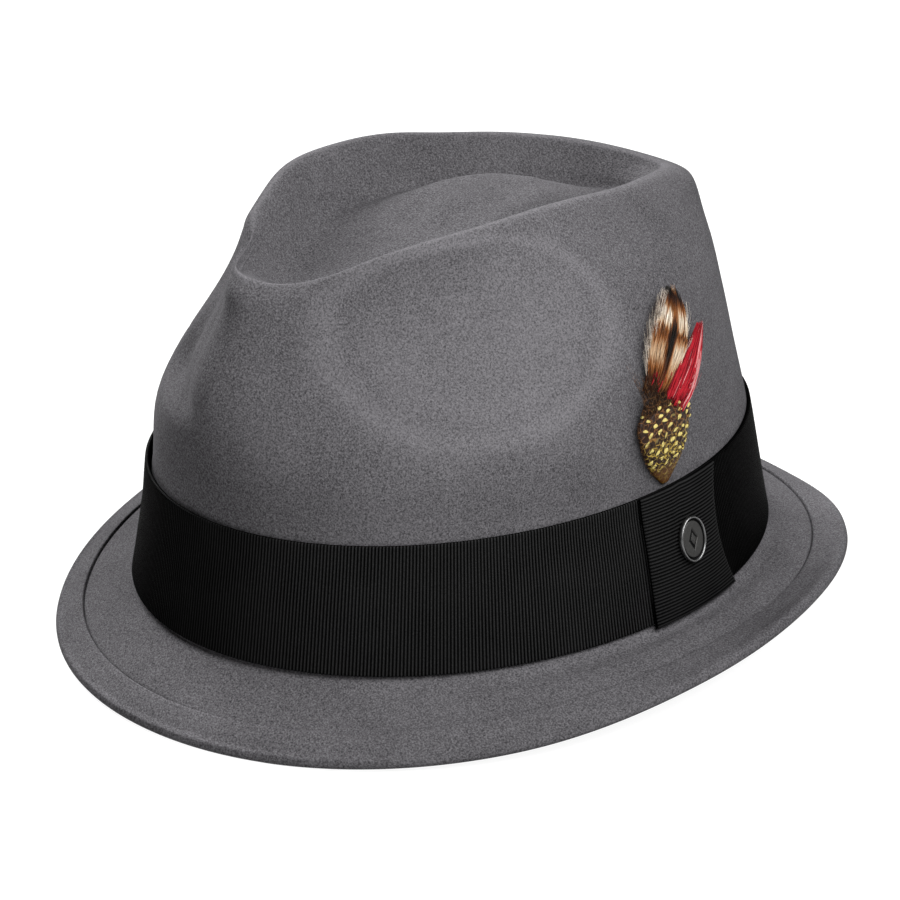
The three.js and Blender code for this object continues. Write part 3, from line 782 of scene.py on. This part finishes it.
def strands(spec, u, v, lift, breadth):
    """Barbs as thin three-sided tapering strips, one for each row of the arrays."""
    breadth = breadth + 0 * u
    middle = feather_place(spec, u, v, lift)
    out = unit(feather_place(spec, u, v, lift + 1) - middle)
    along = unit(np.gradient(middle, axis=1))
    side = unit(np.cross(along, out)) * (breadth / 2)[..., None]
    rings = np.stack([middle - side, middle + side, middle + out * (breadth * 0.35)[..., None]], 2)
    count, steps = u.shape
    start = np.arange(count)[:, None, None] * steps * 3 + np.arange(steps - 1)[None, :, None] * 3
    corner = np.arange(3)[None, None, :]
    a, b = start + corner, start + (corner + 1) % 3
    faces = np.stack([a, b, b + 3, a + 3], -1).reshape(-1, 4).tolist()
    for k in range(count):
        first, end = k * steps * 3, (k * steps + steps - 1) * 3
        faces += [[first + 2, first + 1, first], [end, end + 1, end + 2]]
    return rings.reshape(-1, 3), faces


def at_corners(values):
    """A value for each place along the barbs, repeated for the three corners of the strip there."""
    return np.repeat(values.ravel(), 3)


def joined(*parts):
    """Several point and face lists as one."""
    points, faces, count = [], [], 0
    for some_points, some_faces in parts:
        faces += [[corner + count for corner in face] for face in some_faces]
        points.append(some_points)
        count += len(some_points)
    return np.concatenate(points), faces


def pad_spots(u, v):
    """How much of the pale spots there is at each place, with their shapes changing over the pad."""
    x, y = u * eased(PAD["width"], v) / 2, v * (PAD["tip"][1] - PAD["foot"][1])
    spots = np.zeros_like(x)
    chance = np.random.default_rng(11)
    for row in range(SPOTS.rows):
        for column in range(SPOTS.columns):
            place_in_row = column - (SPOTS.columns - 1) / 2 + (row % 2) * 0.5
            across = place_in_row * SPOTS.spacing + chance.normal(0, 0.45)
            height = SPOTS.first + row * SPOTS.row_rise + chance.normal(0, 0.35)
            slant = math.radians(SPOTS.slant if across < -0.5 else SPOTS.rear_slant)
            slant = slant * (height < SLANTED_UNDER) + chance.normal(0, 0.2)
            long, thick = chance.uniform(*SPOTS.long), chance.uniform(*SPOTS.thick)
            weak = 0.4 if height < WEAK_UNDER or chance.random() < 0.12 else 1.0
            along_spot = (x - across) * math.cos(slant) + (y - height) * math.sin(slant)
            off_spot = (y - height) * math.cos(slant) - (x - across) * math.sin(slant)
            cap = off_spot + 0.22 * along_spot**2 * (height > CAPPED_OVER)
            spot = 1 - (along_spot / long) ** 2 - (cap / thick) ** 2
            spots = np.maximum(spots, np.clip(spot * 2.2, 0, 1) * weak)
    return spots


def pad_height(spec, u, v):
    """The pad's rounded back with the ripple of its overlapping feathers and its raised spots."""
    swell = 0.45 + 0.55 * np.sqrt(np.clip(1 - u**2, 0, 1))
    scales = 0.16 * np.sin(v * 62 + 1.5 * np.cos(u * 18)) * smooth_step(v, 0.15, 0.35)
    return (eased(spec["thick"], v) - 0.3) * swell + scales + SPOTS.raised * pad_spots(u, v)


pad_points, pad_faces, pad_u, pad_v = feather_slab(PAD, 150, 170, pad_height)
pad_chance = np.random.default_rng(5)
t = np.linspace(0, 1, BARB_STEPS)[None]
turn = pad_chance.choice([-1, 1], EDGE_BARBS)[:, None]
root = pad_chance.uniform(*EDGE.root, EDGE_BARBS)[:, None]
edge_u = turn * (0.86 + (0.16 + pad_chance.uniform(0, 0.07, (EDGE_BARBS, 1))) * t)
edge_v = root + pad_chance.uniform(*EDGE.run, (EDGE_BARBS, 1)) * t
edge_lift = 0.5 * eased(PAD["thick"], edge_v) * (1 - 0.5 * t)
edge_breadth = EDGE.broad * (1 - 0.85 * t)
tuft_root = pad_chance.uniform(-0.97, 0.95, (TUFT_BARBS, 1))
loose = np.clip(0.2 - tuft_root, 0, 1) * pad_chance.random((TUFT_BARBS, 1)) ** 3  # freer at the front
tuft_u = tuft_root * (1 + 0.12 * t) - 0.6 * loose * t
tuft_run = TUFT.run + TUFT.loose_run * loose
tuft_v = pad_chance.uniform(*TUFT.root, (TUFT_BARBS, 1)) + tuft_run * t
tuft_lift = eased(PAD["thick"], tuft_v) * (0.75 + 0.25 * np.sin(math.pi * t)) + 1.5 * loose * t
tuft_breadth = TUFT.broad * (1 - 0.8 * t)
gilt = 0.3 * (pad_chance.random((EDGE_BARBS + TUFT_BARBS, 1)) < GILT_SHARE) + 0 * t
all_points, all_faces = joined(
    (pad_points, pad_faces), strands(PAD, edge_u, edge_v, edge_lift, edge_breadth),
    strands(PAD, tuft_u, tuft_v, tuft_lift, tuft_breadth),
)
pad_marks = {
    "spot": np.append(pad_spots(pad_u, pad_v), at_corners(gilt)),
    "plain": 1 - smooth_step(pad_v, 0.16, 0.32),
    "upper": np.append(smooth_step(pad_v, 0.42, 0.72), at_corners(1 + 0 * gilt)),
}

BARE_BROWN, FOOT_BROWN = (0.012, 0.0045, 0.0018, 1), (0.046, 0.0165, 0.0026, 1)
LOW_GOLD, HIGH_GOLD = (0.23, 0.16, 0.027, 1), (0.10, 0.042, 0.013, 1)
SPOT_GOLD = (0.35, 0.285, 0.09, 1)
NET_DRIFT = (0.0012, 0.0012, 0.0012)
pad_finish, pad_shader, place = new_finish("spotted_breast_feather", Roughness=0.5, Specular_IOR_Level=0.15)
plain = place.mark("plain")
bent = place.noise(500, output=1)
shifted = place.node("VectorMath", {"operation": "MULTIPLY_ADD"}, {0: bent, 1: NET_DRIFT, 2: place})
cells = {"Vector": shifted, "Scale": 560.0}
scale_edges = place.node("TexVoronoi", {"feature": "DISTANCE_TO_EDGE"}, cells)
broken = place.noise(1100, detail=1).stepped(0.32, 0.52)
net = (1 - scale_edges.stepped(0.02, 0.13)) * broken * (1 - plain * 0.8)
ground, thread = plain.mixed(BARE_BROWN, FOOT_BROWN), place.mark("upper").mixed(LOW_GOLD, HIGH_GOLD)
pad_colour = place.mark("spot").stepped(0.25, 0.75).mixed(net.mixed(ground, thread), SPOT_GOLD)
finish_with(pad_shader, pad_colour, net, depth=0.0002)
pad = mesh_piece("feather_pad_dressed", all_points, all_faces, [pad_finish], marks=pad_marks)
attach(pad, "root")
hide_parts("feather_pad")

# Striped plume: loose barbs of a pheasant's tail coverts, barred in cream, chestnut and black, fanned out
# and tucked under the top of the pad. Wisps of down stand off its sides and its tip.
SLAB_WIDTH = 0.82  # share of the plume's width that the slab under its barbs has
WISPS, PLUME_STEPS = 300, 12
WISP = Sizes(start=(0.0, 0.72), run=(0.2, 0.42), out=(0.15, 0.72), broad=0.16, pale_share=0.45)
# A plume's barbs are drawn from ranges: where they start and how long they run, as shares of its length,
# how deep they lie and how broad they are. They end on its rounded tip, fan out and drift to a side. The
# flat share of their height is the same all across, and the rest falls off from the shaft to the sides.
STRIPED = {
    "foot": (98.2, 66.6, 0.6), "tip": (109.2, 89.5, 4.6),
    "width": [10, 13.5, 16, 15, 11.5, 5], "thick": [2.2, 2.4, 2.2, 2.0, 1.6, 1.2],
    "barbs": 900, "start": (-0.08, 0.62), "run": (0.3, 0.5), "end": 1.03, "tip_round": 0.1,
    "fan": (0.93, 0.1), "drift": 0.07, "drift_bend": 1.5, "depth": (0.35, 1.0), "broad": (0.32, 0.6),
    "flat": 0.35,
}
# Tones along the plume's left, shaft and right: 0 is black, 0.2 brown, 0.45 chestnut and 0.9 cream.
BARS = {
    "v": [0.0, 0.12, 0.27, 0.35, 0.47, 0.5, 0.57, 0.6, 0.66, 0.78, 0.82, 0.9, 0.94, 1.0],
    "left": [0.12, 0.17, 0.55, 0.72, 0.55, 0.34, 0.26, 0.36, 0.88, 0.9, 0.4, 0.15, 0.0, 0.0],
    "shaft": [0.2, 0.25, 0.15, 0.02, 0.0, 0.0, 0.0, 0.0, 0.03, 0.42, 0.36, 0.15, 0.0, 0.9],
    "right": [0.2, 0.4, 0.66, 0.8, 0.85, 0.6, 0.4, 0.05, 0.78, 0.92, 0.45, 0.2, 0.0, 0.0],
}
BARB_STOPS = [
    (0.0, (0.006, 0.005, 0.004)), (0.2, (0.040, 0.013, 0.005)), (0.42, (0.17, 0.058, 0.014)),
    (0.66, (0.31, 0.20, 0.115)), (0.88, (0.42, 0.35, 0.265)), (1.0, (1.0, 1.0, 1.0)),
]


def plume_tone(u, v, strand):
    """Where each place falls on the plume's ramp of colours, from black at 0 to white at 1."""
    v = v + 0.09 * (strand - 0.5)
    left, shaft, right = (np.interp(v, BARS["v"], BARS[side]) for side in ("left", "shaft", "right"))
    to_left, to_right = smooth_step(-u, 0.1, 0.3), smooth_step(u, 0.02, 0.26)
    tone = left * to_left + right * to_right + shaft * (1 - to_left - to_right)
    return tone * np.where(strand < 0.14, 0.45, 1)


def rounded(u, reach):
    """Height of a rounded back across a plume, as a share of its height along the shaft."""
    return np.sqrt(np.clip(1 - (u * reach) ** 2, 0, 1))


def slab_height(spec, u, v):
    """The slab under a plume's barbs, which keeps light from showing between them."""
    return 0.35 * eased(spec["thick"], v) * rounded(u, 0.9)


def barb_finish(name, stops):
    """Barbs coloured by the tone of each place, and lighter or darker from barb to barb."""
    finish, shader, place = new_finish(name, Roughness=0.55, Specular_IOR_Level=0.1)
    fleck = place.noise(1800)
    tone = place.node("ValToRGB", {"stops": stops}, {"Fac": place.mark("tone")})
    light = (place.mark("strand") * 0.45 + fleck * 0.5 + 0.4).mixed((0, 0, 0, 1), (1, 1, 1, 1))
    settings = {"data_type": "RGBA", "blend_type": "MULTIPLY"}
    finish_with(shader, place.node("Mix", settings, {0: 1.0, 6: tone, 7: light}, output=2), fleck)
    return finish


def barb_places(spec, chance):
    """Where a plume's barbs lie across it and along it, and where they start."""
    count = (spec["barbs"], 1)
    u = chance.uniform(-1, 1, count)
    start, run = chance.uniform(*spec["start"], count), chance.uniform(*spec["run"], count)
    v = start + np.minimum(run, spec["end"] - spec["tip_round"] * u**2 - start) * t
    drift = chance.normal(0, spec["drift"], count) * t ** spec["drift_bend"]
    return u * (spec["fan"][0] + spec["fan"][1] * t) + drift, v, start


def barb_bodies(spec, chance, u, v):
    """Lift and breadth of a plume's barbs, and a number from 0 to 1 for each barb."""
    count = (spec["barbs"], 1)
    over_shaft = spec["flat"] + (1 - spec["flat"]) * rounded(u, 0.85)
    lift = eased(spec["thick"], v) * chance.uniform(*spec["depth"], count) * over_shaft
    breadth = chance.uniform(*spec["broad"], count) * (1 - 0.85 * t**2)
    return lift, breadth, chance.random(count) + 0 * t


plume_chance = np.random.default_rng(23)
t = np.linspace(0, 1, PLUME_STEPS)[None]
barb_u, barb_v, _ = barb_places(STRIPED, plume_chance)
barb_lift, barb_breadth, barb_strand = barb_bodies(STRIPED, plume_chance, barb_u, barb_v)
barb_lift = barb_lift * (0.85 + 0.15 * np.sin(math.pi * t)) * np.where(barb_v < 0, 0.5, 1)
wisp_side = plume_chance.choice([-1, -1, -1, 1], WISPS)[:, None]
wisp_start = plume_chance.uniform(*WISP.start, (WISPS, 1))
wisp_run = np.minimum(plume_chance.uniform(*WISP.run, (WISPS, 1)), 0.93 - wisp_start)
wisp_v = wisp_start + wisp_run * t
wisp_u = wisp_side * (0.72 + plume_chance.uniform(*WISP.out, (WISPS, 1)) * t)
wisp_lift = 0.8 + 1.2 * t * plume_chance.random((WISPS, 1))
wisp_breadth = WISP.broad * (1 - 0.8 * t)
wisp_tone = np.where(plume_chance.random((WISPS, 1)) < WISP.pale_share, 0.9, 0.15) + 0 * wisp_u

STRIPED_SLAB = {**STRIPED, "width": [SLAB_WIDTH * width for width in STRIPED["width"]]}
slab_points, slab_faces, slab_u, slab_v = feather_slab(STRIPED_SLAB, 40, 60, slab_height)
plume_points, plume_faces = joined(
    (slab_points, slab_faces), strands(STRIPED, barb_u, barb_v, barb_lift, barb_breadth),
    strands(STRIPED, wisp_u, wisp_v, wisp_lift, wisp_breadth),
)
barb_tone = plume_tone(barb_u, barb_v, barb_strand)
slab_tone = plume_tone(slab_u, slab_v, np.full_like(slab_u, 0.5))
striped_marks = {
    "tone": np.concatenate([slab_tone, at_corners(barb_tone), at_corners(wisp_tone)]),
    "strand": np.concatenate([0.4 + 0 * slab_u, at_corners(barb_strand), at_corners(0.7 + 0 * wisp_u)]),
}
striped_finish = barb_finish("striped_feather_barbs", BARB_STOPS)
striped = mesh_piece(
    "striped_plume_dressed", plume_points, plume_faces, [striped_finish], marks=striped_marks
)
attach(striped, "root")
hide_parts("striped_plume")

# Red plume: the dyed barbs of a small goose feather beside the striped one, leaning back from it, bright
# red with paler barbs along its rear edge, and tucked under the pad as well.
RED = {
    "foot": (103.0, 62.0, 2.6), "tip": (116.8, 77.6, 3.6),
    "width": [9, 9.5, 8.5, 7, 5, 2.5], "thick": [1.6, 1.8, 1.8, 1.6, 1.4, 1.2],
    "barbs": 560, "start": (-0.1, 0.62), "run": (0.35, 0.55), "end": 1.05, "tip_round": 0.12,
    "fan": (0.95, 0.12), "drift": 0.09, "drift_bend": 1, "depth": (0.4, 1.0), "broad": (0.3, 0.55),
    "flat": 0.4,
}
# Strays lie before the plume's foot, and barbs that fly away lean to the rear.
STRAY = Sizes(share=0.12, start_under=0.2, out=(0.6, 1.9))
FLY_AWAY = Sizes(share=0.09, out=(0.2, 0.9))
DARK_TONE, SLAB_TONE, RED_TONE, PALE_TONE = 0.2, 0.4, 0.5, 0.74
RED_STOPS = [
    (0.0, (0.07, 0.002, 0.005)), (0.5, (0.24, 0.006, 0.012)),
    (0.7, (0.32, 0.05, 0.05)), (1.0, (1.0, 1.0, 1.0)),
]
red_chance = np.random.default_rng(31)
red_u, red_v, red_start = barb_places(RED, red_chance)
strays = (red_chance.random(red_start.shape) < STRAY.share) & (red_start < STRAY.start_under)
red_u = red_u - strays * red_chance.uniform(*STRAY.out, red_start.shape)
fly_away = red_chance.random(red_start.shape) < FLY_AWAY.share
red_u = red_u + fly_away * red_chance.uniform(*FLY_AWAY.out, red_start.shape) * t
red_lift, red_breadth, red_strand = barb_bodies(RED, red_chance, red_u, red_v)
red_breadth = red_breadth * (1 - 0.5 * fly_away)
pale = (red_u > 0.5) & (red_v < 0.7) & (red_strand < 0.4) | (red_strand > 0.96)
red_tone = np.where(pale, PALE_TONE, np.where(red_strand < 0.3, DARK_TONE, RED_TONE))

red_slab, red_slab_faces, slab_u, slab_v = feather_slab(RED, 24, 40, slab_height)
red_barbs = strands(RED, red_u, red_v, red_lift, red_breadth)
red_points, red_faces = joined((red_slab, red_slab_faces), red_barbs)
red_marks = {
    "tone": np.append(SLAB_TONE + 0 * slab_u, at_corners(red_tone)),
    "strand": np.append(0.5 + 0 * slab_u, at_corners(red_strand)),
}
red_finish = barb_finish("red_feather_barbs", RED_STOPS)
red = mesh_piece("red_plume_dressed", red_points, red_faces, [red_finish], marks=red_marks)
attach(red, "root")
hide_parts("red_plume")

# Floor, backdrop, lights and camera: a lit white table before white paper, under soft light, seen from the
# wearer's front left. Sizes here are in metres. The backdrop shows to the camera alone.
BACKDROP_RADIUS, TABLE_SIDE, TABLE_DROP = 7.5, 16, 0.0003
ROOM_GLOW = 0.02
CROWN_MIDDLE = Vector((0, 0, 0.06))


def white_finish(name, dark, light, **shader_values):
    """White that gives off light of its own, with a faint unevenness in the white under it."""
    finish, shader, place = new_finish(name, Emission_Color=(1, 1, 1, 1), **shader_values)
    finish_with(shader, place.noise(3).mixed((dark, dark, dark, 1), (light, light, light, 1)))
    return finish


bpy.ops.mesh.primitive_plane_add(size=TABLE_SIDE, location=(0, 0, -TABLE_DROP))
floor = bpy.context.object
floor.name = "floor"
floor.data.materials.append(white_finish(
    "lit_acrylic_table", 0.15, 0.16, Roughness=0.9, Specular_IOR_Level=0.05, Emission_Strength=0.93
))

bpy.ops.mesh.primitive_uv_sphere_add(segments=64, ring_count=32, radius=BACKDROP_RADIUS)
backdrop = bpy.context.object
backdrop.name = "backdrop"
backdrop.data.materials.append(white_finish(
    "white_backdrop_paper", 0.5, 0.52, Roughness=1.0, Emission_Strength=1.0
))
backdrop.visible_shadow = backdrop.visible_diffuse = backdrop.visible_glossy = False

studio = bpy.data.worlds.new("studio")
bpy.context.scene.world = studio
studio.use_nodes = True
glow = studio.node_tree.nodes["Background"].inputs
glow["Color"].default_value, glow["Strength"].default_value = (1, 1, 1, 1), ROOM_GLOW
bpy.context.scene.view_settings.view_transform = "Standard"


def toward(azimuth, elevation):
    """The direction from the hat to a place round it: azimuth 0 is in front, 90 to the wearer's left."""
    a, e = math.radians(azimuth), math.radians(elevation)
    return Vector((math.sin(a) * math.cos(e), -math.cos(a) * math.cos(e), math.sin(e)))


def turned_light(name, lamp, azimuth, elevation):
    """A lamp that faces the hat from a direction."""
    light = bpy.data.objects.new(name, lamp)
    light.rotation_mode = "QUATERNION"
    light.rotation_quaternion = toward(azimuth, elevation).to_track_quat("Z", "Y")
    bpy.context.scene.collection.objects.link(light)
    return light


def wide_light(name, azimuth, elevation, strength, spread):
    """A big diffuser far off: strength is the light that a white card facing it would show."""
    lamp = bpy.data.lights.new(name, "SUN")
    lamp.energy, lamp.angle = strength * math.pi, math.radians(spread)
    turned_light(name, lamp, azimuth, elevation)


def near_light(name, azimuth, elevation, distance, strength):
    """A small round softbox: strength is the light that a white card facing it at the hat would show."""
    lamp = bpy.data.lights.new(name, "AREA")
    lamp.shape, lamp.size = "DISK", 0.6 * distance
    lamp.energy = strength * math.pi**2 * distance**2
    box = turned_light(name, lamp, azimuth, elevation)
    box.location = toward(azimuth, elevation) * distance + CROWN_MIDDLE
    box.visible_camera = False


near_light("side_softbox", azimuth=69, elevation=38, distance=0.36, strength=1.1)
wide_light("overhead_diffuser", azimuth=120, elevation=55, strength=1.25, spread=34)
wide_light("rim_diffuser", azimuth=262, elevation=35, strength=2.55, spread=38)

VIEW = Sizes(azimuth=50.489, elevation=24.62, roll=-0.393, distance=0.82288, lens=107.489)
AIM = Vector((-0.008768, 0.004803, 0.03763))
lens = bpy.data.cameras.new("camera")
lens.lens, lens.sensor_width = VIEW.lens, 36
lens.clip_start, lens.clip_end = 0.01, 50
camera = bpy.data.objects.new("camera", lens)
back = toward(VIEW.azimuth, VIEW.elevation)
right = toward(VIEW.azimuth + 90, 0)
standing = Matrix.Translation(AIM + back * VIEW.distance)
turned = Matrix((right, back.cross(right), back)).transposed().to_4x4()
camera.matrix_world = standing @ turned @ Matrix.Rotation(math.radians(VIEW.roll), 4, "Z")
bpy.context.scene.collection.objects.link(camera)
bpy.context.scene.camera = camera
